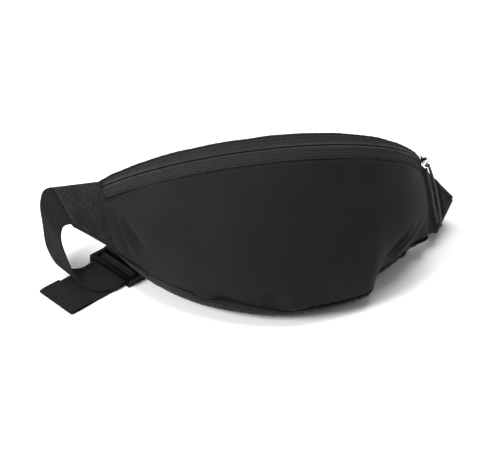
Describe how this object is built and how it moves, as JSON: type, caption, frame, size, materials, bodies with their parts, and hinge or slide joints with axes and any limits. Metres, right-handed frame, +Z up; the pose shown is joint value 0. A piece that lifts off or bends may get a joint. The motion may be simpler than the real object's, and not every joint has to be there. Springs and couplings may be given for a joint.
{
  "type": "waist pack",
  "caption": "Crescent-shaped waist pack with a curved top zip, padded back, side wings and a webbing belt closed by a side-release buckle.",
  "frame": {"origin": "middle of the flat base, on the surface the pack stands on", "axes": "+Z up, -Y is the front of the pack, +X along the zip towards the closed slider"},
  "size_m": [0.3926, 0.1677, 0.1415],
  "materials": {
    "nylon": "matt coated nylon plain weave",
    "cordura": "coarse textured nylon weave",
    "spacer_mesh": "knitted spacer mesh",
    "foam": "closed-cell foam",
    "zip_tape": "woven polyester tape with fine cross ribs",
    "coil_plastic": "satin nylon coil",
    "slider_metal": "satin black enamel",
    "pull_cord": "braided polyester cord",
    "webbing": "ribbed polypropylene webbing",
    "buckle_plastic": "fine-textured acetal"
  },
  "bodies": {
    "pack": {"front_panel": "nylon", "bottom_gusset": "nylon", "top_panel": "nylon", "back_lining": "nylon", "back_foam": "foam", "back_face": "spacer_mesh", "bottom_seam_piping": "nylon", "zip_tape_front": "zip_tape", "zip_coil_front": "coil_plastic", "zip_tape_back": "zip_tape", "zip_coil_back": "coil_plastic", "wing_left_front": "cordura", "wing_left_back": "nylon", "wing_right_front": "cordura", "wing_right_back": "nylon", "strap_left": "webbing", "strap_right": "webbing", "buckle_socket": "buckle_plastic", "zip_stop_left": "coil_plastic", "zip_stop_right": "coil_plastic", "zip_end_tab": "webbing"},
    "buckle_half": {"buckle_plug": "buckle_plastic", "strap_left_run": "webbing"},
    "prong_front": {"buckle_prong_front": "buckle_plastic"},
    "prong_back": {"buckle_prong_back": "buckle_plastic"},
    "slider": {"zip_slider": "slider_metal"},
    "pull": {"zip_pull_ring": "slider_metal", "zip_pull_knot": "pull_cord", "zip_pull_cord_long": "pull_cord", "zip_pull_cord_short": "pull_cord"}
  },
  "joints": [
    {"name": "zip_slide", "type": "hinge", "parent": "pack", "child": "slider", "pos_m": [0, 0.13527, 0.01459], "axis": [0, -0.7447, -0.6674], "range_deg": [0, 118]},
    {"name": "pull_swing", "type": "hinge", "parent": "slider", "child": "pull", "pos_m": [0.1467, 0.07805, 0.07842], "axis": [-0.5045, -0.5763, 0.6429], "range_deg": [0, 50]},
    {"name": "buckle_release", "type": "slide", "parent": "pack", "child": "buckle_half", "axis": [-0.8499, -0.527, 0], "range_m": [0, 0.028]},
    {"name": "prong_front_flex", "type": "hinge", "parent": "buckle_half", "child": "prong_front", "pos_m": [-0.1104, 0.05831, 0.0045], "axis": [0, 0, 1], "range_deg": [0, 7], "stiffness_Nm_per_rad": 0.05},
    {"name": "prong_back_flex", "type": "hinge", "parent": "buckle_half", "child": "prong_back", "pos_m": [-0.12515, 0.08211, 0.0045], "axis": [0, 0, -1], "range_deg": [0, 7], "stiffness_Nm_per_rad": 0.05}
  ],
  "couplings": [
    {"joint": "prong_back_flex", "follows": "prong_front_flex", "ratio": 1}
  ]
}
